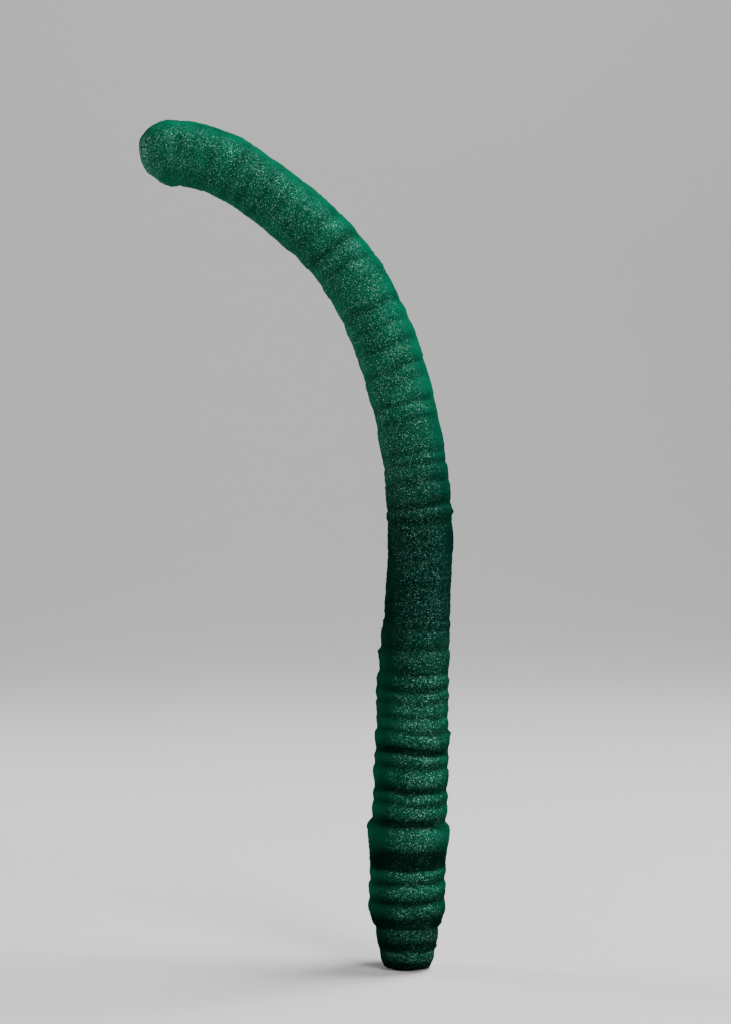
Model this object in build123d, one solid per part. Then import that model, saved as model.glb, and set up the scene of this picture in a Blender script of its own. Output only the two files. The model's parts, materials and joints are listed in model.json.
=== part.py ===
from build123d import *
import math
import os

# A soft plastic fishing worm, 6 inches along its middle line, cast solid in soft vinyl.
# It stands on its blunt nose. The origin is the centre of the flat nose face, +Z is up,
# and the tail arches over towards -X, so the middle line lies in the XZ plane.
# The casting is divided at its moulded grooves. Each segment meets the next in a ball face
# centred on the flexing point between them, so the row of segments bends as the worm does.

# The middle line: the length of each stretch, and its lean towards -X at its end, in degrees.
# The lean changes evenly along a stretch, so each stretch is an arc or straight.
STRETCHES = [
    (13.5, 0.0),
    (4.0, -2.6),
    (22.5, -1.7),
    (22.0, -3.5),
    (15.0, 6.3),
    (15.0, 15.2),
    (14.0, 25.8),
    (14.0, 46.5),
    (17.0, 58.8),
    (15.4, 106.5),
]
LINE_STEP = 0.1

NOSE_FACE_RADIUS = 2.4
FLEX_LIFT = 2.6  # how far above its groove a flexing point lies
BALL_GAP = 0.2  # clearance between the two ball faces of a groove

# Depth of the grooves in each zone.
HEAD_GROOVE = 0.45
SADDLE_GROOVE = 0.05
TAIL_GROOVE = 0.2

# Head segments from the nose up. Each lobe has a length along the worm and a crown radius.
HEAD_SEGMENTS = {
    "nose": [(3.2, 4.2), (3.9, 4.9), (3.8, 6.0)],
    "neck_ring": [(2.8, 6.0), (2.4, 5.9)],
    "collar": [(7.0, 6.4)],
    "head_ring_1": [(2.8, 5.9), (2.0, 5.8)],
    "head_ring_2": [(3.6, 5.9), (2.3, 5.75)],
    "head_ring_3": [(3.4, 5.85), (2.3, 5.7)],
    "head_ring_4": [(2.3, 5.6), (1.9, 5.6)],
    "head_ring_5": [(2.4, 5.6), (4.0, 5.4)],
}
SADDLE_COUNT = 4
SADDLE_LENGTH = 4.95
SADDLE_RADIUS = 5.15
# Lobe lengths of each tail segment, from the saddle to the tip.
TAIL_LOBES = [
    [2.5, 3.9],
    [2.8, 1.6],
    [5.1],
    [2.9],
    [3.6, 2.1],
    [3.8],
    [3.1, 3.2],
    [1.9, 2.6],
    [3.3],
    [3.6],
    [4.3],
    [3.9],
    [2.9, 3.0],
    [3.1, 2.7],
    [4.4],
    [3.0],
]
TAIL_RADIUS = 5.0
TIP_RADIUS = 5.3


def lean_at(distance):
    """Lean of the middle line at a distance from the nose face, in degrees."""
    lean = 0.0
    for length, end_lean in STRETCHES:
        if distance <= length:
            return lean + (end_lean - lean) * distance / length
        distance -= length
        lean = end_lean
    return lean


def point_at(distance):
    """Place of the middle line at a distance from the nose face."""
    steps = max(1, round(distance / LINE_STEP))
    step = distance / steps
    x = 0.0
    z = 0.0
    for index in range(steps):
        lean = math.radians(lean_at((index + 0.5) * step))
        x -= math.sin(lean) * step
        z += math.cos(lean) * step
    return Vector(x, 0, z)


def list_segments():
    """Name, lobes and groove depth of every segment, from the nose to the tip."""
    segments = [(name, lobes, HEAD_GROOVE) for name, lobes in HEAD_SEGMENTS.items()]
    for number in range(1, SADDLE_COUNT + 1):
        segments.append((f"saddle_{number}", [(SADDLE_LENGTH, SADDLE_RADIUS)], SADDLE_GROOVE))
    for number, lengths in enumerate(TAIL_LOBES, start=1):
        lobes = [(length, TAIL_RADIUS) for length in lengths]
        segments.append((f"tail_ring_{number:02d}", lobes, TAIL_GROOVE))
    used = sum(length for _, lobes, _ in segments for length, _ in lobes)
    tip_length = sum(length for length, _ in STRETCHES) - used
    segments.append(("tail_tip", [(tip_length, TIP_RADIUS)], TAIL_GROOVE))
    return segments


def list_grooves(segments):
    """Distance from the nose face and radius of the groove below every segment but the first."""
    grooves = []
    distance = 0.0
    for (_, lower_lobes, _), (_, upper_lobes, depth) in zip(segments, segments[1:]):
        distance += sum(length for length, _ in lower_lobes)
        radius = min(lower_lobes[-1][1], upper_lobes[0][1]) - depth
        grooves.append((distance, radius))
    return grooves


def ball_radius(groove_radius):
    """Radius of the convex ball face whose rim is the groove."""
    return math.hypot(groove_radius, FLEX_LIFT)


def ball_arc(centre, radius, rim_radius):
    """Arc of a ball face from the middle line out to its rim, in the radius and height plane."""
    rim_angle = math.asin(rim_radius / radius)
    points = []
    for angle in (0.0, rim_angle / 2, rim_angle):
        points.append((radius * math.sin(angle), centre - radius * math.cos(angle)))
    return ThreePointArc(*points)


def lobe_arcs(lobes, depth, start, end):
    """Arcs of the outside from the lower rim to the upper rim, one for each lobe."""
    scale = (end[1] - start[1]) / sum(length for length, _ in lobes)
    arcs = []
    low = start
    for index, (length, crown) in enumerate(lobes):
        if index + 1 < len(lobes):
            high = (min(crown, lobes[index + 1][1]) - depth, low[1] + length * scale)
        else:
            high = end
        arcs.append(ThreePointArc(low, (crown, (low[1] + high[1]) / 2), high))
        low = high
    return arcs


def turn(edges):
    """Solid of revolution about Z from the edges of a half section."""
    return revolve(Plane.XZ * make_face(edges), Axis.Z)


def nose_solid(lobes, depth, height, groove_radius):
    """Nose: flat face below, ball socket above. The height is that of the flexing point above."""
    socket = ball_arc(height, ball_radius(groove_radius) + BALL_GAP, groove_radius)
    face_edge = (NOSE_FACE_RADIUS, 0)
    edges = [Line((0, 0), face_edge)]
    edges += lobe_arcs(lobes, depth, face_edge, tuple(socket @ 1)[:2])
    edges += [socket, Line(socket @ 0, (0, 0))]
    return turn(edges)


def ring_solid(lobes, depth, height, lower_radius, upper_radius):
    """Segment about its lower flexing point: ball face below, ball socket above."""
    ball = ball_arc(0, ball_radius(lower_radius), lower_radius)
    socket = ball_arc(height, ball_radius(upper_radius) + BALL_GAP, upper_radius)
    edges = [ball]
    edges += lobe_arcs(lobes, depth, tuple(ball @ 1)[:2], tuple(socket @ 1)[:2])
    edges += [socket, Line(socket @ 0, ball @ 0)]
    return turn(edges)


def tip_solid(radius, height, groove_radius):
    """Tail tip about its flexing point: ball face below, round end above."""
    ball = ball_arc(0, ball_radius(groove_radius), groove_radius)
    crown = (radius, height - radius)
    slope = math.sqrt(0.5) * radius
    side = TangentArc(crown, ball @ 1, tangent=(0, -1))
    dome = ThreePointArc(crown, (slope, crown[1] + slope), (0, height))
    return turn([ball, side, dome, Line((0, height), ball @ 0)])


def stand_on_line(solid, low, high):
    """Turn a segment from its own upright frame to the run from one point to the next."""
    run = (high - low).normalized()
    return Plane(origin=low, x_dir=(run.Z, 0, -run.X), z_dir=run).location * solid


def build_segments():
    """Every segment in its place, by name."""
    segments = list_segments()
    grooves = list_grooves(segments)
    worm_length = sum(length for length, _ in STRETCHES)
    ends = [Vector(0, 0, 0)]
    ends += [point_at(distance + FLEX_LIFT) for distance, _ in grooves]
    ends.append(point_at(worm_length))
    solids = {}
    for index, (name, lobes, depth) in enumerate(segments):
        low = ends[index]
        high = ends[index + 1]
        height = (high - low).length
        if index == 0:
            solid = nose_solid(lobes, depth, height, grooves[0][1])
        elif index == len(segments) - 1:
            solid = tip_solid(lobes[0][1], height, grooves[-1][1])
        else:
            solid = ring_solid(lobes, depth, height, grooves[index - 1][1], grooves[index][1])
        solids[name] = stand_on_line(solid, low, high)
    return solids


os.makedirs("parts", exist_ok=True)
for segment_name, segment_solid in build_segments().items():
    export_step(segment_solid, f"parts/{segment_name}.step")
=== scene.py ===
import bpy
import json
import math
import numpy as np
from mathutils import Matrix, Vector, noise


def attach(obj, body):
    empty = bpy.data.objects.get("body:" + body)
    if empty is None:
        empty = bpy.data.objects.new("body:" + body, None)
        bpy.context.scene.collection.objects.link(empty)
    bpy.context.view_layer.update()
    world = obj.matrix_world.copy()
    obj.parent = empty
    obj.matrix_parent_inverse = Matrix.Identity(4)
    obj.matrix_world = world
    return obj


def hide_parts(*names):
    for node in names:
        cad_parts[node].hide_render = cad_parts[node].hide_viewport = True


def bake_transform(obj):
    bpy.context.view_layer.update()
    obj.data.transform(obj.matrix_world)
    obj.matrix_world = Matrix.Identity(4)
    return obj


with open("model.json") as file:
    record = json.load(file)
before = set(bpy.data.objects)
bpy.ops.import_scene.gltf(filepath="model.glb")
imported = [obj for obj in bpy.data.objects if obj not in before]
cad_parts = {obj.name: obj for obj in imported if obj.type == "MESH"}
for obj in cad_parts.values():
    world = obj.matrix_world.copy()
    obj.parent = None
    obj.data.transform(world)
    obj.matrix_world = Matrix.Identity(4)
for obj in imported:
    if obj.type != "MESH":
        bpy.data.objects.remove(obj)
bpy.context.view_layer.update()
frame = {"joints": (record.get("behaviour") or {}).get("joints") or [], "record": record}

# ---------------------------------------------------------------------------------------------
# The view: a short telephoto at about the middle of the worm's height, square to the arch and
# tilted up a touch, so that the nose is seen slightly from above.
camera_data = bpy.data.cameras.new("camera")
camera_data.lens = 60
camera_data.sensor_width = 36
camera = bpy.data.objects.new("camera", camera_data)
camera.location = (-0.00656, -0.27047, 0.06216)
camera.rotation_euler = (math.radians(92), 0, 0)
bpy.context.scene.collection.objects.link(camera)
bpy.context.scene.camera = camera

# ---------------------------------------------------------------------------------------------
# The worm's middle line. It runs from the centre of the nose face through the points about which
# the moulded grooves flex, and its last bend goes on to the end of the tail.
tip_length = 0.0065
tip_steps = 3
line_steps = 24

nose_face = next(m for m in frame["record"]["mounts"] if m["name"] == "nose_face")
flex_points = [Vector(joint["pos_m"]) for joint in frame["joints"]]
last_run = flex_points[-1] - flex_points[-2]
previous_run = flex_points[-2] - flex_points[-3]
last_lean = math.atan2(-last_run.x, last_run.z)
bend_rate = (last_lean - math.atan2(-previous_run.x, previous_run.z)) / last_run.length
line_points = [Vector(nose_face["pos_m"])] + flex_points
tip_run = tip_length / tip_steps
for step in range(tip_steps):
    lean = last_lean + bend_rate * (last_run.length / 2 + (step + 0.5) * tip_run)
    line_points.append(line_points[-1] + Vector((-math.sin(lean), 0, math.cos(lean))) * tip_run)

middle_data = bpy.data.curves.new("middle_line", "CURVE")
middle_data.dimensions = "3D"
middle_data.twist_mode = "MINIMUM"
middle_data.resolution_u = line_steps
spline = middle_data.splines.new("BEZIER")
spline.bezier_points.add(len(line_points) - 1)
for knot, place in zip(spline.bezier_points, line_points):
    knot.co = place
    knot.handle_left_type = "AUTO"
    knot.handle_right_type = "AUTO"
    knot.tilt = math.pi
middle_line = bpy.data.objects.new("middle_line", middle_data)
bpy.context.scene.collection.objects.link(middle_line)


def finished_mesh(piece):
    """The piece's mesh with its whole modifier stack applied."""
    bpy.context.view_layer.update()
    evaluated = piece.evaluated_get(bpy.context.evaluated_depsgraph_get())
    return bpy.data.meshes.new_from_object(evaluated)


def vertex_places(mesh):
    """Places of a mesh's vertices, one row for each."""
    places = np.empty(len(mesh.vertices) * 3)
    mesh.vertices.foreach_get("co", places)
    return places.reshape(-1, 3)


line_places = vertex_places(finished_mesh(middle_line))
line_runs = np.linalg.norm(np.diff(line_places, axis=0), axis=1)
line_lengths = np.concatenate(([0.0], np.cumsum(line_runs)))
worm_length = line_lengths[-1]
flex_lengths = line_lengths[line_steps:line_steps * len(flex_points) + 1:line_steps]

# ---------------------------------------------------------------------------------------------
# The casting, straight, as it leaves its mould: soft vinyl, solid, ringed all the way up. The
# rings are bold round the nose, with one broad collar, die away over the smooth saddle, and come
# back softer and less even on the tail.
mm = 0.001
nose_pad_radius = 2.4 * mm
tip_radius = 5.25 * mm
row_gap = 0.45 * mm
column_count = 64
tip_row_count = 12
fullness_power = 2.6
# Each ring from the nose up, in millimetres: length, radius at its crown, depth of the groove above
# it. Last comes how far up the ring its crown lies, as a share of its length.
rings = [
    (3.2, 4.30, 0.55, 0.70),
    (3.9, 4.95, 0.30, 0.70),
    (3.8, 6.05, 0.70, 0.74),
    (2.9, 6.05, 0.60, 0.66),
    (2.3, 6.00, 0.85, 0.62),
    (7.0, 6.40, 0.75, 0.72),
    (2.8, 5.95, 0.50, 0.66),
    (2.0, 5.95, 0.70, 0.62),
    (3.6, 5.95, 0.50, 0.68),
    (2.3, 5.85, 0.75, 0.66),
    (3.4, 5.95, 0.45, 0.72),
    (2.3, 5.75, 0.40, 0.64),
    (2.3, 5.70, 0.35, 0.60),
    (1.9, 5.70, 0.55, 0.60),
    (2.4, 5.65, 0.42, 0.66),
    (4.0, 5.50, 0.42, 0.66),
    (3.3, 5.42, 0.22, 0.60),
    (1.4, 5.35, 0.12, 0.56),
    (5.3, 5.20, 0.09, 0.54),
    (3.0, 5.15, 0.06, 0.50),
    (2.3, 5.12, 0.08, 0.50),
    (4.5, 5.15, 0.42, 0.54),
    (2.5, 5.22, 0.54, 0.64),
    (3.9, 5.15, 0.32, 0.58),
    (2.8, 5.05, 0.30, 0.58),
    (1.6, 5.00, 0.24, 0.54),
    (5.1, 5.05, 0.30, 0.54),
    (2.9, 5.00, 0.30, 0.54),
    (3.6, 5.05, 0.26, 0.54),
    (2.1, 5.05, 0.36, 0.54),
    (3.8, 5.05, 0.32, 0.54),
    (3.1, 5.05, 0.26, 0.54),
    (3.2, 5.05, 0.34, 0.54),
    (4.5, 5.00, 0.16, 0.52),
    (3.3, 5.00, 0.28, 0.52),
    (3.6, 4.95, 0.34, 0.52),
    (4.3, 5.00, 0.28, 0.52),
    (3.9, 5.00, 0.16, 0.50),
    (2.9, 4.98, 0.18, 0.50),
    (3.0, 4.98, 0.20, 0.50),
    (3.1, 5.00, 0.20, 0.50),
    (2.7, 5.00, 0.18, 0.50),
    (4.4, 5.08, 0.18, 0.50),
    (3.0, 5.12, 0.10, 0.50),
    (2.8, 5.15, 0.09, 0.50),
]
# The mould parts along the two sides. Its grooves are cut shallower there, and a thin flash of
# vinyl stands along the parting: faint, but for one fin on the left below the saddle.
side_fill = 0.60
side_fill_power = 5
parting_half_width = 0.035
flash_start = 2 * mm
flash_grain = 2.5 * mm
faint_flash = 0.10 * mm
fin_height = 0.42 * mm
fin_foot = 37.4 * mm
fin_run_out = 4 * mm
fin_head = 49.6 * mm
# Nibs of vinyl on the parting, in millimetres: height up the worm, side (1 right, -1 left), and how
# far they stand.
nibs = [(3.2, 1, 0.5), (37.4, 1, 1.0), (71.0, 1, 0.6), (49.4, -1, 0.5), (22.0, -1, 0.4)]
nib_half_height = 0.23
# Grooves that run aslant, in millimetres: height up the worm, and their rise at the right side.
slants = [(72.4, 0.60), (36.6, -0.15), (94.4, 0.25), (112.3, -0.3)]
slant_reach = 2.2


def ring_rows():
    """Height, radius and crown radius of each row of the cage, from the pad to the tip's foot."""
    rows = []
    height = 0.0
    groove_radius = nose_pad_radius
    for number, (length, crown, depth, crown_place) in enumerate(rings):
        next_crown = rings[number + 1][1] if number + 1 < len(rings) else crown
        next_groove = (min(crown, next_crown) - depth) * mm
        count = max(4, round(length * mm / row_gap))
        crown_power = math.log(0.5) / math.log(crown_place)
        for step in range(count):
            share = (step / count) ** crown_power
            foot = groove_radius + (next_groove - groove_radius) * step / count
            fullness = 1 - abs(2 * share - 1) ** fullness_power
            row_height = height + length * mm * step / count
            rows.append((row_height, foot + (crown * mm - foot) * fullness, crown * mm))
        height += length * mm
        groove_radius = next_groove
    rows.append((height, groove_radius, groove_radius))
    return rows


def tip_rows(height):
    """Height, radius and crown radius of each row of the cage round the plain rounded tip."""
    centre = worm_length - tip_radius
    neck_radius = tip_radius * 0.985
    rows = [(height + (centre - height) * share, neck_radius) for share in (0.2, 0.45, 0.7)]
    for step in range(tip_row_count):
        angle = math.pi / 2 * step / tip_row_count
        rows.append((centre + tip_radius * math.sin(angle), tip_radius * math.cos(angle)))
    return [(row_height, radius, radius) for row_height, radius in rows]


def flash_height(height, side):
    """How far the flash stands on the parting at a height up the worm, on one side."""
    worn = noise.noise(Vector((height / flash_grain, side * 7.0, 0.0)))
    if side < 0 and fin_foot < height < fin_head:
        return fin_height * min(1.0, (height - fin_foot) / fin_run_out) * (1 + 0.35 * worn)
    return faint_flash * max(0.0, 0.6 + worn)


cage_rows = ring_rows()
cage_rows += tip_rows(cage_rows[-1][0])
# Two columns stand close to each parting, one on either side, so that the flash is thin.
columns = [math.tau * column / column_count for column in range(column_count)]
for parting in (0.0, math.pi):
    columns += [parting - parting_half_width, parting + parting_half_width]
columns = sorted(angle % math.tau for angle in columns)

cage_places = [(0.0, 0.0, 0.0)]
for height, radius, crown_radius in [(0.0, nose_pad_radius / 2, 0.0)] + cage_rows:
    slant = sum(
        rise * math.exp(-((height / mm - middle) / slant_reach) ** 2) for middle, rise in slants
    )
    for angle in columns:
        fill = side_fill * abs(math.cos(angle)) ** side_fill_power
        filled = radius + max(0.0, crown_radius - radius) * fill
        side = round(math.cos(angle), 9)
        if abs(side) == 1 and height > flash_start:
            filled += flash_height(height, side)
            for nib_height, nib_side, lift in nibs:
                if side == nib_side and abs(height / mm - nib_height) < nib_half_height:
                    filled += lift * mm
        lean = slant * mm * math.cos(angle)
        cage_places.append((filled * math.cos(angle), filled * math.sin(angle), height + lean))
cage_places.append((0.0, 0.0, worm_length))

row_count = len(cage_rows) + 1
row_length = len(columns)
cage_faces = [(0, 1 + (i + 1) % row_length, 1 + i) for i in range(row_length)]
for row in range(row_count - 1):
    low = 1 + row * row_length
    high = low + row_length
    for i in range(row_length):
        following = (i + 1) % row_length
        cage_faces.append((low + i, low + following, high + following, high + i))
top = len(cage_places) - 1
rim = top - row_length
cage_faces += [(rim + i, rim + (i + 1) % row_length, top) for i in range(row_length)]

cage = bpy.data.meshes.new("worm_cage")
cage.from_pydata(cage_places, [], cage_faces)
cage.polygons.foreach_set("use_smooth", [True] * len(cage.polygons))
casting = bpy.data.objects.new("worm_casting", cage)
bpy.context.scene.collection.objects.link(casting)
rounded = casting.modifiers.new("rounded", "SUBSURF")
rounded.levels = 2
rounded.render_levels = 2
casting.data = finished_mesh(casting)
casting.modifiers.clear()

# The place of each point in the mould stays with it, for the cuts and the plastic's own pattern,
# and so does how deep it lies in a groove, which the plastic uses for painted shade in the grooves.
mould_places = vertex_places(casting.data)
crown_heights = [height for height, radius, crown_radius in cage_rows]
crown_radii = [crown_radius for height, radius, crown_radius in cage_rows]
crowns = np.interp(mould_places[:, 2], crown_heights, crown_radii)
deep_groove = 0.6 * mm
hollows = np.clip((crowns - np.hypot(mould_places[:, 0], mould_places[:, 1])) / deep_groove, 0, 1)

# The nose face stays flat and level: the unevenness starts above it.
uneven = casting.vertex_groups.new(name="uneven")
free_height = 2.5 * mm
steps_to_free = 10
for level in range(steps_to_free + 1):
    low = free_height * (level - 0.5) / steps_to_free
    high = free_height * (level + 0.5) / steps_to_free if level < steps_to_free else worm_length * 2
    band = np.nonzero((mould_places[:, 2] >= low) & (mould_places[:, 2] < high))[0]
    uneven.add(band.tolist(), level / steps_to_free, "REPLACE")


def push_out(name, kind, grain, strength, direction="NORMAL", stretch=None):
    """One layer of unevenness in the casting: the kind of pattern, its grain and how deep it goes."""
    texture = bpy.data.textures.new(name, kind)
    texture.noise_scale = grain
    layer = casting.modifiers.new(name, "DISPLACE")
    layer.texture = texture
    layer.direction = direction
    layer.strength = strength
    layer.mid_level = 0.5
    layer.vertex_group = "uneven"
    if stretch:
        layer.texture_coords = "OBJECT"
        layer.texture_coords_object = stretch


# Fine creases run round the worm, so their pattern is drawn out sideways.
round_stretch = bpy.data.objects.new("round_stretch", None)
round_stretch.scale = (9, 9, 1)
bpy.context.scene.collection.objects.link(round_stretch)

push_out("ring_wander", "CLOUDS", 9 * mm, 1.1 * mm, direction="Z")
push_out("lumps", "CLOUDS", 4.5 * mm, 0.40 * mm)
push_out("creases", "CLOUDS", 0.7 * mm, 0.14 * mm, stretch=round_stretch)
push_out("salt", "VORONOI", 0.38 * mm, -0.10 * mm)

bent = casting.modifiers.new("laid_on_middle_line", "CURVE")
bent.object = middle_line
bent.deform_axis = "POS_Z"
casting.data = finished_mesh(casting)
casting.modifiers.clear()
bpy.data.objects.remove(round_stretch)
bpy.data.objects.remove(middle_line)

casting_places = vertex_places(casting.data)
casting_normals = np.empty(len(casting.data.vertices) * 3)
casting.data.vertex_normals.foreach_get("vector", casting_normals)
casting_normals = casting_normals.reshape(-1, 3)

# ---------------------------------------------------------------------------------------------
# The plastic: translucent green vinyl thick with fine salt, and with a few larger pale flakes.
# It is matt, and the grains at its surface glint. Its green is darker at the nose, and nearly black
# over the smooth saddle, where the salt is sparser. Down in the grooves the green is darkened and the
# salt thinned: painted shade. Away from a band down the middle of each face the salt and flakes are
# thinned, most of all towards the partings: a painted highlight of glinting grains.
salt_size = 0.15 * mm
flake_size = 0.21 * mm
nose_green = (0.0001, 0.016, 0.008, 1)
head_green = (0.0001, 0.038, 0.019, 1)
saddle_green = (0.0003, 0.011, 0.0075, 1)
tail_green = (0.0001, 0.058, 0.029, 1)
# Painted shade: the dark green laid into the bottom of the grooves.
painted_groove_shade_green = (0.0001, 0.008, 0.004, 1)
salt_mint = (0.065, 0.300, 0.200, 1)
flake_mint = (0.300, 0.620, 0.480, 1)


def soft_vinyl():
    """The salted green vinyl, by each point's place in the mould, with painted shade in the grooves
    and a painted band of glinting grains.
    """
    material = bpy.data.materials.new("salted_green_vinyl")
    material.use_nodes = True
    tree = material.node_tree
    nodes = tree.nodes
    links = tree.links
    nodes.clear()

    place = nodes.new("ShaderNodeAttribute")
    place.label = "Place in the mould"
    place.attribute_name = "mould"
    place.location = (-1800, 0)
    depth = nodes.new("ShaderNodeAttribute")
    depth.label = "Depth in a groove"
    depth.attribute_name = "hollow"
    depth.location = (-1800, -300)

    green_frame = nodes.new("NodeFrame")
    green_frame.label = "Green of the vinyl, by part of the worm"
    split = nodes.new("ShaderNodeSeparateXYZ")
    split.label = "Height in the mould"
    split.parent = green_frame
    split.location = (-1600, 500)
    share = nodes.new("ShaderNodeMapRange")
    share.label = "Nose 0, tail 1"
    share.parent = green_frame
    share.location = (-1400, 500)
    share.inputs["From Max"].default_value = worm_length
    zones = nodes.new("ShaderNodeValToRGB")
    zones.label = "Nose, head, saddle and tail green"
    zones.parent = green_frame
    zones.location = (-1200, 500)
    zones.color_ramp.elements[0].position = 0.26
    zones.color_ramp.elements[0].color = head_green
    zones.color_ramp.elements[1].position = 0.60
    zones.color_ramp.elements[1].color = tail_green
    for position in (0.36, 0.45):
        zones.color_ramp.elements.new(position).color = saddle_green
    zones.color_ramp.elements.new(0.085).color = head_green
    zones.color_ramp.elements.new(0.045).color = nose_green
    cloud = nodes.new("ShaderNodeTexNoise")
    cloud.label = "Faint cloudiness"
    cloud.parent = green_frame
    cloud.location = (-1400, 250)
    cloud.inputs["Scale"].default_value = 1 / (4 * mm)
    cloud.inputs["Detail"].default_value = 4
    cloud_strength = nodes.new("ShaderNodeMapRange")
    cloud_strength.label = "Darker to brighter"
    cloud_strength.parent = green_frame
    cloud_strength.location = (-1200, 250)
    cloud_strength.inputs["From Min"].default_value = 0.3
    cloud_strength.inputs["From Max"].default_value = 0.7
    cloud_strength.inputs["To Min"].default_value = 0.75
    cloud_strength.inputs["To Max"].default_value = 1.25
    clouded = nodes.new("ShaderNodeVectorMath")
    clouded.label = "Clouded green"
    clouded.parent = green_frame
    clouded.location = (-900, 400)
    clouded.operation = "SCALE"
    # Painted shade: the green is mixed towards the dark groove green by each point's depth in a
    # groove.
    green_with_painted_groove_shade = nodes.new("ShaderNodeMix")
    green_with_painted_groove_shade.label = "Painted shade in the grooves"
    green_with_painted_groove_shade.parent = green_frame
    green_with_painted_groove_shade.location = (-700, 400)
    green_with_painted_groove_shade.data_type = "RGBA"
    green_with_painted_groove_shade.inputs["B"].default_value = painted_groove_shade_green

    salt_frame = nodes.new("NodeFrame")
    salt_frame.label = "Fine salt, a grain in every cell"
    salt = nodes.new("ShaderNodeTexVoronoi")
    salt.label = "Salt cells"
    salt.parent = salt_frame
    salt.location = (-1600, -50)
    salt.inputs["Scale"].default_value = 1 / salt_size
    salt_chance = nodes.new("ShaderNodeSeparateColor")
    salt_chance.label = "Each grain's own numbers"
    salt_chance.parent = salt_frame
    salt_chance.location = (-1400, -50)
    salt_rarity = nodes.new("ShaderNodeMath")
    salt_rarity.label = "Few grains are bright"
    salt_rarity.parent = salt_frame
    salt_rarity.location = (-1200, -50)
    salt_rarity.operation = "POWER"
    salt_rarity.inputs[1].default_value = 2.2
    salt_edge = nodes.new("ShaderNodeMapRange")
    salt_edge.label = "Soft edge of a grain"
    salt_edge.parent = salt_frame
    salt_edge.location = (-1200, -250)
    salt_edge.inputs["From Min"].default_value = 0.70
    salt_edge.inputs["From Max"].default_value = 0.35
    drift = nodes.new("ShaderNodeTexNoise")
    drift.label = "Where salt has gathered"
    drift.parent = salt_frame
    drift.location = (-1400, -450)
    drift.inputs["Scale"].default_value = 1 / (1.6 * mm)
    drift.inputs["Detail"].default_value = 3
    gathered = nodes.new("ShaderNodeMapRange")
    gathered.label = "Little to much salt"
    gathered.parent = salt_frame
    gathered.location = (-1200, -450)
    gathered.inputs["From Min"].default_value = 0.3
    gathered.inputs["From Max"].default_value = 0.7
    gathered.inputs["To Min"].default_value = 0.5
    gathered.inputs["To Max"].default_value = 1.0
    part_salt = nodes.new("ShaderNodeValToRGB")
    part_salt.label = "Sparser salt on nose and saddle"
    part_salt.parent = salt_frame
    part_salt.location = (-1500, -700)
    part_salt.color_ramp.elements[0].position = 0.26
    part_salt.color_ramp.elements[0].color = (1, 1, 1, 1)
    part_salt.color_ramp.elements[1].position = 0.54
    part_salt.color_ramp.elements[1].color = (0.8, 0.8, 0.8, 1)
    for position in (0.34, 0.44):
        part_salt.color_ramp.elements.new(position).color = (0.45, 0.45, 0.45, 1)
    part_salt.color_ramp.elements.new(0.085).color = (1, 1, 1, 1)
    part_salt.color_ramp.elements.new(0.045).color = (0.6, 0.6, 0.6, 1)
    # Painted shade: fewer pale grains show down in a groove, as if the groove's shade hid them.
    salt_thinned_by_painted_groove_shade = nodes.new("ShaderNodeMapRange")
    salt_thinned_by_painted_groove_shade.label = "Painted groove shade: less salt down in a groove"
    salt_thinned_by_painted_groove_shade.parent = salt_frame
    salt_thinned_by_painted_groove_shade.location = (-1200, -700)
    salt_thinned_by_painted_groove_shade.inputs["To Max"].default_value = 0.15
    # Painted highlight: salt and flakes are thinned away from a band down the middle of the face,
    # where the lit grains glint; its middle shifts from right to left between head and tail.
    band = nodes.new("ShaderNodeMapRange")
    band.label = "Middle of the painted glint band, head to tail"
    band.parent = salt_frame
    band.location = (-1600, -1000)
    band.inputs["From Min"].default_value = 0.35
    band.inputs["From Max"].default_value = 0.50
    band.inputs["To Min"].default_value = 0.8 * mm
    band.inputs["To Max"].default_value = -0.8 * mm
    sides = nodes.new("ShaderNodeMath")
    sides.label = "Off the middle of the face"
    sides.parent = salt_frame
    sides.location = (-1400, -900)
    sides.operation = "SUBTRACT"
    off_middle = nodes.new("ShaderNodeMath")
    off_middle.label = "Either way"
    off_middle.parent = salt_frame
    off_middle.location = (-1200, -900)
    off_middle.operation = "ABSOLUTE"
    painted_glint_band = nodes.new("ShaderNodeMapRange")
    painted_glint_band.label = "Painted glint band: fewer grains off its middle"
    painted_glint_band.parent = salt_frame
    painted_glint_band.location = (-1000, -900)
    painted_glint_band.inputs["From Min"].default_value = 2.0 * mm
    painted_glint_band.inputs["From Max"].default_value = 4.8 * mm
    painted_glint_band.inputs["To Min"].default_value = 1.0
    painted_glint_band.inputs["To Max"].default_value = 0.06
    # Painted highlight and shade: the salt's own spread times the painted glint band.
    salt_spread_with_painted_light = nodes.new("ShaderNodeMath")
    salt_spread_with_painted_light.label = "And fewer grains off the painted glint band"
    salt_spread_with_painted_light.parent = salt_frame
    salt_spread_with_painted_light.location = (-800, -600)
    salt_spread_with_painted_light.operation = "MULTIPLY"
    salt_here = nodes.new("ShaderNodeMath")
    salt_here.label = "Grain in its cell"
    salt_here.parent = salt_frame
    salt_here.location = (-1000, -150)
    salt_here.operation = "MULTIPLY"
    # Salt gathered here and there, times the painted groove shade.
    salt_spread_and_painted_groove_shade = nodes.new("ShaderNodeMath")
    salt_spread_and_painted_groove_shade.label = "Gathered and bare"
    salt_spread_and_painted_groove_shade.parent = salt_frame
    salt_spread_and_painted_groove_shade.location = (-1000, -500)
    salt_spread_and_painted_groove_shade.operation = "MULTIPLY"
    salt_amount = nodes.new("ShaderNodeMath")
    salt_amount.label = "Salt seen"
    salt_amount.parent = salt_frame
    salt_amount.location = (-800, -150)
    salt_amount.operation = "MULTIPLY"
    salted = nodes.new("ShaderNodeMix")
    salted.label = "Green with salt"
    salted.parent = salt_frame
    salted.location = (-500, 250)
    salted.data_type = "RGBA"
    salted.inputs["B"].default_value = salt_mint

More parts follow.
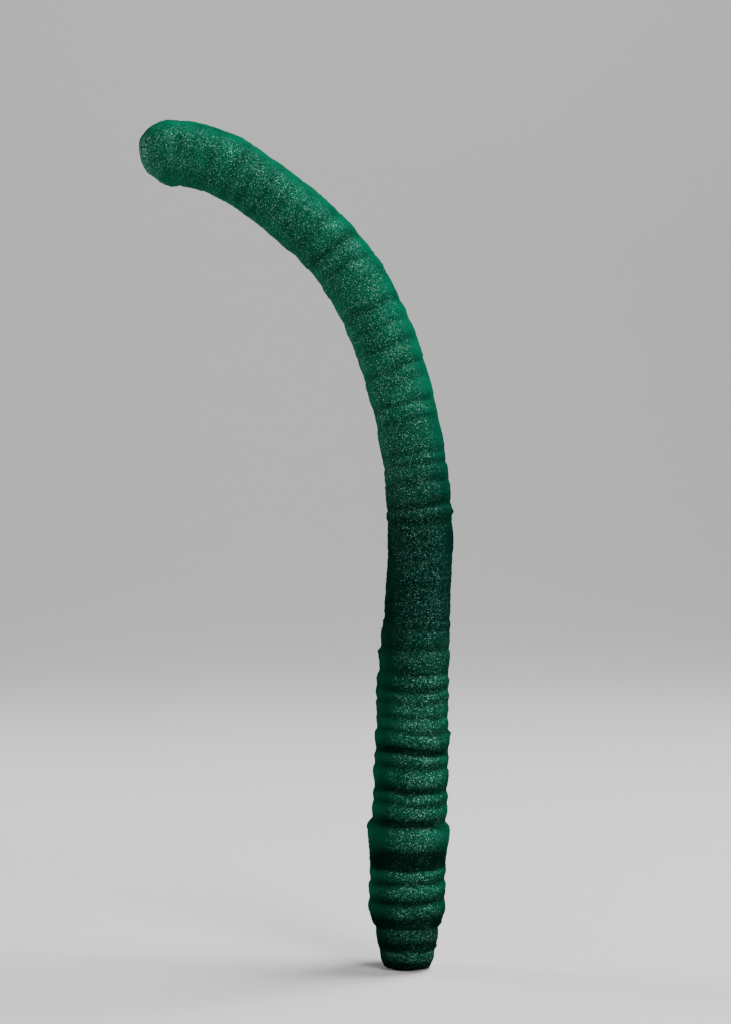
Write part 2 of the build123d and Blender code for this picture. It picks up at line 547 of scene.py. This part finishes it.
    flake_frame = nodes.new("NodeFrame")
    flake_frame.label = "Larger pale flakes, here and there"
    flakes = nodes.new("ShaderNodeTexVoronoi")
    flakes.label = "Flake cells"
    flakes.parent = flake_frame
    flakes.location = (-1600, -950)
    flakes.inputs["Scale"].default_value = 1 / flake_size
    flake_chance = nodes.new("ShaderNodeSeparateColor")
    flake_chance.label = "Each flake's own numbers"
    flake_chance.parent = flake_frame
    flake_chance.location = (-1400, -950)
    has_flake = nodes.new("ShaderNodeMath")
    has_flake.label = "Does this cell hold a flake"
    has_flake.parent = flake_frame
    has_flake.location = (-1200, -950)
    has_flake.operation = "LESS_THAN"
    has_flake.inputs[1].default_value = 0.16
    flake_edge = nodes.new("ShaderNodeMapRange")
    flake_edge.label = "Edge of a flake"
    flake_edge.parent = flake_frame
    flake_edge.location = (-1200, -1150)
    flake_edge.inputs["From Min"].default_value = 0.42
    flake_edge.inputs["From Max"].default_value = 0.28
    flake_here = nodes.new("ShaderNodeMath")
    flake_here.label = "Flake in its cell"
    flake_here.parent = flake_frame
    flake_here.location = (-1000, -1000)
    flake_here.operation = "MULTIPLY"
    # Flakes are thinned by the same salt spread, painted groove shade and painted glint band.
    flake_shows = nodes.new("ShaderNodeMath")
    flake_shows.label = "Thinned like the salt, with painted shade and glints"
    flake_shows.parent = flake_frame
    flake_shows.location = (-800, -1000)
    flake_shows.operation = "MULTIPLY"
    flecked = nodes.new("ShaderNodeMix")
    flecked.label = "Green with salt and flakes"
    flecked.parent = flake_frame
    flecked.location = (-300, 100)
    flecked.data_type = "RGBA"
    flecked.inputs["B"].default_value = flake_mint

    glint_frame = nodes.new("NodeFrame")
    glint_frame.label = "Each grain lies at its own angle"
    salt_turn = nodes.new("ShaderNodeVectorMath")
    salt_turn.label = "Salt grain's angle"
    salt_turn.parent = glint_frame
    salt_turn.location = (-800, -400)
    salt_turn.operation = "SUBTRACT"
    salt_turn.inputs[1].default_value = (0.5, 0.5, 0.5)
    salt_tilt = nodes.new("ShaderNodeVectorMath")
    salt_tilt.label = "Tilt where salt shows"
    salt_tilt.parent = glint_frame
    salt_tilt.location = (-600, -400)
    salt_tilt.operation = "SCALE"
    flake_turn = nodes.new("ShaderNodeVectorMath")
    flake_turn.label = "Flake's angle"
    flake_turn.parent = glint_frame
    flake_turn.location = (-800, -700)
    flake_turn.operation = "SUBTRACT"
    flake_turn.inputs[1].default_value = (0.5, 0.5, 0.5)
    flake_tilt = nodes.new("ShaderNodeVectorMath")
    flake_tilt.label = "Tilt where flakes show"
    flake_tilt.parent = glint_frame
    flake_tilt.location = (-600, -700)
    flake_tilt.operation = "SCALE"
    all_tilt = nodes.new("ShaderNodeVectorMath")
    all_tilt.label = "Both tilts"
    all_tilt.parent = glint_frame
    all_tilt.location = (-400, -500)
    all_tilt.operation = "ADD"
    pits = nodes.new("ShaderNodeTexNoise")
    pits.label = "Fine pits"
    pits.parent = glint_frame
    pits.location = (-800, -950)
    pits.inputs["Scale"].default_value = 1 / (0.15 * mm)
    pits.inputs["Detail"].default_value = 2
    pitted = nodes.new("ShaderNodeBump")
    pitted.label = "Pitted surface"
    pitted.parent = glint_frame
    pitted.location = (-600, -950)
    pitted.inputs["Strength"].default_value = 0.5
    pitted.inputs["Distance"].default_value = 0.05 * mm
    tilted = nodes.new("ShaderNodeVectorMath")
    tilted.label = "Surface with tilted grains"
    tilted.parent = glint_frame
    tilted.location = (-200, -600)
    tilted.operation = "ADD"
    facing = nodes.new("ShaderNodeVectorMath")
    facing.label = "Unit length"
    facing.parent = glint_frame
    facing.location = (0, -600)
    facing.operation = "NORMALIZE"

    finish_frame = nodes.new("NodeFrame")
    finish_frame.label = "Matt vinyl, shinier grains"
    grain_seen = nodes.new("ShaderNodeMath")
    grain_seen.label = "Salt or flake"
    grain_seen.parent = finish_frame
    grain_seen.location = (-400, -200)
    grain_seen.operation = "MAXIMUM"
    roughness = nodes.new("ShaderNodeMapRange")
    roughness.label = "Roughness, vinyl to grain"
    roughness.parent = finish_frame
    roughness.location = (-200, -150)
    roughness.inputs["To Min"].default_value = 0.75
    roughness.inputs["To Max"].default_value = 0.28
    shine = nodes.new("ShaderNodeMapRange")
    shine.label = "Shine, vinyl to grain"
    shine.parent = finish_frame
    shine.location = (-200, -350)
    shine.inputs["To Min"].default_value = 0.0
    shine.inputs["To Max"].default_value = 0.4
    skin_finish = nodes.new("ShaderNodeBsdfPrincipled")
    skin_finish.label = "Soft salted vinyl"
    skin_finish.parent = finish_frame
    skin_finish.location = (200, 0)
    output = nodes.new("ShaderNodeOutputMaterial")
    output.label = "Worm surface"
    output.location = (500, 0)

    links.new(place.outputs["Vector"], split.inputs["Vector"])
    links.new(split.outputs["Z"], share.inputs["Value"])
    links.new(share.outputs["Result"], zones.inputs["Fac"])
    links.new(place.outputs["Vector"], cloud.inputs["Vector"])
    links.new(cloud.outputs["Fac"], cloud_strength.inputs["Value"])
    links.new(zones.outputs["Color"], clouded.inputs[0])
    links.new(cloud_strength.outputs["Result"], clouded.inputs["Scale"])
    links.new(clouded.outputs["Vector"], green_with_painted_groove_shade.inputs["A"])
    links.new(depth.outputs["Fac"], green_with_painted_groove_shade.inputs["Factor"])
    links.new(place.outputs["Vector"], salt.inputs["Vector"])
    links.new(salt.outputs["Color"], salt_chance.inputs["Color"])
    links.new(salt_chance.outputs["Red"], salt_rarity.inputs[0])
    links.new(salt.outputs["Distance"], salt_edge.inputs["Value"])
    links.new(place.outputs["Vector"], drift.inputs["Vector"])
    links.new(drift.outputs["Fac"], gathered.inputs["Value"])
    links.new(share.outputs["Result"], part_salt.inputs["Fac"])
    links.new(depth.outputs["Fac"], salt_thinned_by_painted_groove_shade.inputs["Value"])
    links.new(part_salt.outputs["Color"], salt_thinned_by_painted_groove_shade.inputs["To Min"])
    links.new(salt_rarity.outputs["Value"], salt_here.inputs[0])
    links.new(salt_edge.outputs["Result"], salt_here.inputs[1])
    links.new(gathered.outputs["Result"], salt_spread_and_painted_groove_shade.inputs[0])
    links.new(salt_thinned_by_painted_groove_shade.outputs["Result"], salt_spread_and_painted_groove_shade.inputs[1])
    links.new(salt_here.outputs["Value"], salt_amount.inputs[0])
    links.new(share.outputs["Result"], band.inputs["Value"])
    links.new(split.outputs["X"], sides.inputs[0])
    links.new(band.outputs["Result"], sides.inputs[1])
    links.new(sides.outputs["Value"], off_middle.inputs[0])
    links.new(off_middle.outputs["Value"], painted_glint_band.inputs["Value"])
    links.new(salt_spread_and_painted_groove_shade.outputs["Value"], salt_spread_with_painted_light.inputs[0])
    links.new(painted_glint_band.outputs["Result"], salt_spread_with_painted_light.inputs[1])
    links.new(salt_spread_with_painted_light.outputs["Value"], salt_amount.inputs[1])
    links.new(salt_amount.outputs["Value"], salted.inputs["Factor"])
    links.new(green_with_painted_groove_shade.outputs["Result"], salted.inputs["A"])
    links.new(place.outputs["Vector"], flakes.inputs["Vector"])
    links.new(flakes.outputs["Color"], flake_chance.inputs["Color"])
    links.new(flake_chance.outputs["Red"], has_flake.inputs[0])
    links.new(flakes.outputs["Distance"], flake_edge.inputs["Value"])
    links.new(has_flake.outputs["Value"], flake_here.inputs[0])
    links.new(flake_edge.outputs["Result"], flake_here.inputs[1])
    links.new(flake_here.outputs["Value"], flake_shows.inputs[0])
    links.new(salt_spread_with_painted_light.outputs["Value"], flake_shows.inputs[1])
    links.new(flake_shows.outputs["Value"], flecked.inputs["Factor"])
    links.new(salted.outputs["Result"], flecked.inputs["A"])
    links.new(salt.outputs["Color"], salt_turn.inputs[0])
    links.new(salt_turn.outputs["Vector"], salt_tilt.inputs[0])
    links.new(salt_amount.outputs["Value"], salt_tilt.inputs["Scale"])
    links.new(flakes.outputs["Color"], flake_turn.inputs[0])
    links.new(flake_turn.outputs["Vector"], flake_tilt.inputs[0])
    links.new(flake_shows.outputs["Value"], flake_tilt.inputs["Scale"])
    links.new(salt_tilt.outputs["Vector"], all_tilt.inputs[0])
    links.new(flake_tilt.outputs["Vector"], all_tilt.inputs[1])
    links.new(place.outputs["Vector"], pits.inputs["Vector"])
    links.new(pits.outputs["Fac"], pitted.inputs["Height"])
    links.new(pitted.outputs["Normal"], tilted.inputs[0])
    links.new(all_tilt.outputs["Vector"], tilted.inputs[1])
    links.new(tilted.outputs["Vector"], facing.inputs[0])
    links.new(salt_amount.outputs["Value"], grain_seen.inputs[0])
    links.new(flake_shows.outputs["Value"], grain_seen.inputs[1])
    links.new(grain_seen.outputs["Value"], roughness.inputs["Value"])
    links.new(grain_seen.outputs["Value"], shine.inputs["Value"])
    links.new(flecked.outputs["Result"], skin_finish.inputs["Base Color"])
    links.new(facing.outputs["Vector"], skin_finish.inputs["Normal"])
    links.new(roughness.outputs["Result"], skin_finish.inputs["Roughness"])
    links.new(shine.outputs["Result"], skin_finish.inputs["Specular IOR Level"])
    links.new(skin_finish.outputs["BSDF"], output.inputs["Surface"])
    return material


vinyl = soft_vinyl()

# ---------------------------------------------------------------------------------------------
# The worm bends at its grooves, so the one casting is divided there into a skin for each ring.
# Where it was cut, each skin is closed with a flat fan.
flex_lift = 2.6 * mm

quads = np.empty(len(casting.data.loops), int)
casting.data.loops.foreach_get("vertex_index", quads)
quads = quads.reshape(-1, 4)
quad_heights = mould_places[quads, 2].mean(axis=1)


def line_point(length):
    """The point of the worm's middle line at a length from the nose face."""
    return np.array([np.interp(length, line_lengths, line_places[:, axis]) for axis in range(3)])


def make_skin(node, low, high):
    """One ring's skin, cut from the casting between two heights in the mould."""
    own_quads = quads[(quad_heights > low) & (quad_heights < high)]
    used, own_quads = np.unique(own_quads, return_inverse=True)
    own_quads = own_quads.reshape(-1, 4)
    places = casting_places[used]
    in_mould = mould_places[used]
    in_groove = hollows[used]
    starts = own_quads.ravel()
    ends = np.roll(own_quads, -1, axis=1).ravel()
    open_edges = ~np.isin(ends * len(used) + starts, starts * len(used) + ends)
    caps = []
    for at_foot in (True, False):
        edges = open_edges & ((in_mould[starts, 2] < (low + high) / 2) == at_foot)
        if not edges.any():
            continue
        hub = len(places)
        caps += [(end, start, hub) for start, end in zip(starts[edges].tolist(), ends[edges].tolist())]
        row = starts[edges]
        places = np.vstack((places, places[row].mean(axis=0)))
        in_mould = np.vstack((in_mould, in_mould[row].mean(axis=0)))
        in_groove = np.append(in_groove, 1.0)

    mesh = bpy.data.meshes.new(node + "_skin")
    mesh.from_pydata(places.tolist(), [], own_quads.tolist() + caps)
    is_quad = np.arange(len(mesh.polygons)) < len(own_quads)
    mesh.polygons.foreach_set("use_smooth", is_quad)
    place = mesh.attributes.new("mould", "FLOAT_VECTOR", "POINT")
    place.data.foreach_set("vector", in_mould.astype(np.float32).ravel())
    hollow = mesh.attributes.new("hollow", "FLOAT", "POINT")
    hollow.data.foreach_set("value", in_groove.astype(np.float32))
    normals = np.zeros((len(mesh.loops), 3))
    normals[:own_quads.size] = casting_normals[used][own_quads.ravel()]
    mesh.normals_split_custom_set(normals.tolist())
    mesh.materials.append(vinyl)
    skin = bpy.data.objects.new(mesh.name, mesh)
    bpy.context.scene.collection.objects.link(skin)
    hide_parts(node)
    return skin


grooves = [length - flex_lift for length in flex_lengths] + [worm_length + mm]
nose_skin = make_skin("nose", -mm, grooves[0])
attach(nose_skin, "nose")
for joint, low, high in zip(frame["joints"], grooves, grooves[1:]):
    skin = make_skin(joint["child"], low, high)
    foot = line_point(low)
    run = line_point(min(high, worm_length)) - foot
    run /= np.linalg.norm(run)
    reach = (vertex_places(skin.data) - foot) @ run
    in_mould = np.empty(len(skin.data.vertices) * 3, np.float32)
    skin.data.attributes["mould"].data.foreach_get("vector", in_mould)
    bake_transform(skin)
bpy.data.objects.remove(casting)

# ---------------------------------------------------------------------------------------------
# The studio: a pale floor that rises into a pale wall all round, open at the top, and soft light
# from large panels. The key stands high on the right, a top light in front, a weak one left, and
# one more lights the wall behind.
def softbox(name, place, aim, width, height, power):
    """A panel of soft white light, turned to face a point."""
    light = bpy.data.lights.new(name, "AREA")
    light.shape = "RECTANGLE"
    light.size = width
    light.size_y = height
    light.energy = power
    panel = bpy.data.objects.new(name, light)
    panel.location = place
    panel.rotation_euler = (Vector(aim) - panel.location).to_track_quat("-Z", "Y").to_euler()
    panel.visible_camera = False
    bpy.context.scene.collection.objects.link(panel)


worm_middle = (-0.01, 0, 0.07)
softbox("key_light", (0.30, 0.08, 0.75), worm_middle, 0.30, 0.30, 16.0)
softbox("front_light", (0.34, -0.48, 0.56), worm_middle, 0.25, 0.25, 6.5)
softbox("left_light", (-0.52, 0.20, 0.24), worm_middle, 0.15, 0.40, 3.4)
softbox("wall_light", (0, 0.9, 1.3), (0, 2.2, 0.35), 1.4, 0.6, 30.0)

stage_rows = [(0, 0), (0.6, 0), (1.2, 0), (1.7, 0.05), (2.1, 0.35), (2.2, 0.9), (2.2, 1.6), (2.2, 2.4)]
stage_mesh = bpy.data.meshes.new("stage_profile")
stage_mesh.from_pydata(
    [(radius, 0, height) for radius, height in reversed(stage_rows)],
    [(i, i + 1) for i in range(len(stage_rows) - 1)],
    [],
)
studio = bpy.data.objects.new("studio_floor", stage_mesh)
bpy.context.scene.collection.objects.link(studio)
swept = studio.modifiers.new("swept", "SCREW")
swept.steps = 48
swept.render_steps = 48
swept.use_merge_vertices = True
swept.use_smooth_shade = True
softened = studio.modifiers.new("softened", "SUBSURF")
softened.levels = 2
softened.render_levels = 2

paper = bpy.data.materials.new("pale_paper")
paper.use_nodes = True
paper_nodes = paper.node_tree.nodes
paper_nodes.clear()
paper_finish = paper_nodes.new("ShaderNodeBsdfPrincipled")
paper_finish.label = "Matt pale paper"
paper_finish.location = (0, 0)
paper_finish.inputs["Base Color"].default_value = (0.38, 0.38, 0.375, 1)
paper_finish.inputs["Roughness"].default_value = 0.9
paper_output = paper_nodes.new("ShaderNodeOutputMaterial")
paper_output.label = "Floor and wall"
paper_output.location = (300, 0)
paper.node_tree.links.new(paper_finish.outputs["BSDF"], paper_output.inputs["Surface"])
studio.data.materials.append(paper)

world = bpy.data.worlds.new("studio")
world.use_nodes = True
world.node_tree.nodes["Background"].inputs["Color"].default_value = (1, 1, 1, 1)
world.node_tree.nodes["Background"].inputs["Strength"].default_value = 0.10
bpy.context.scene.world = world
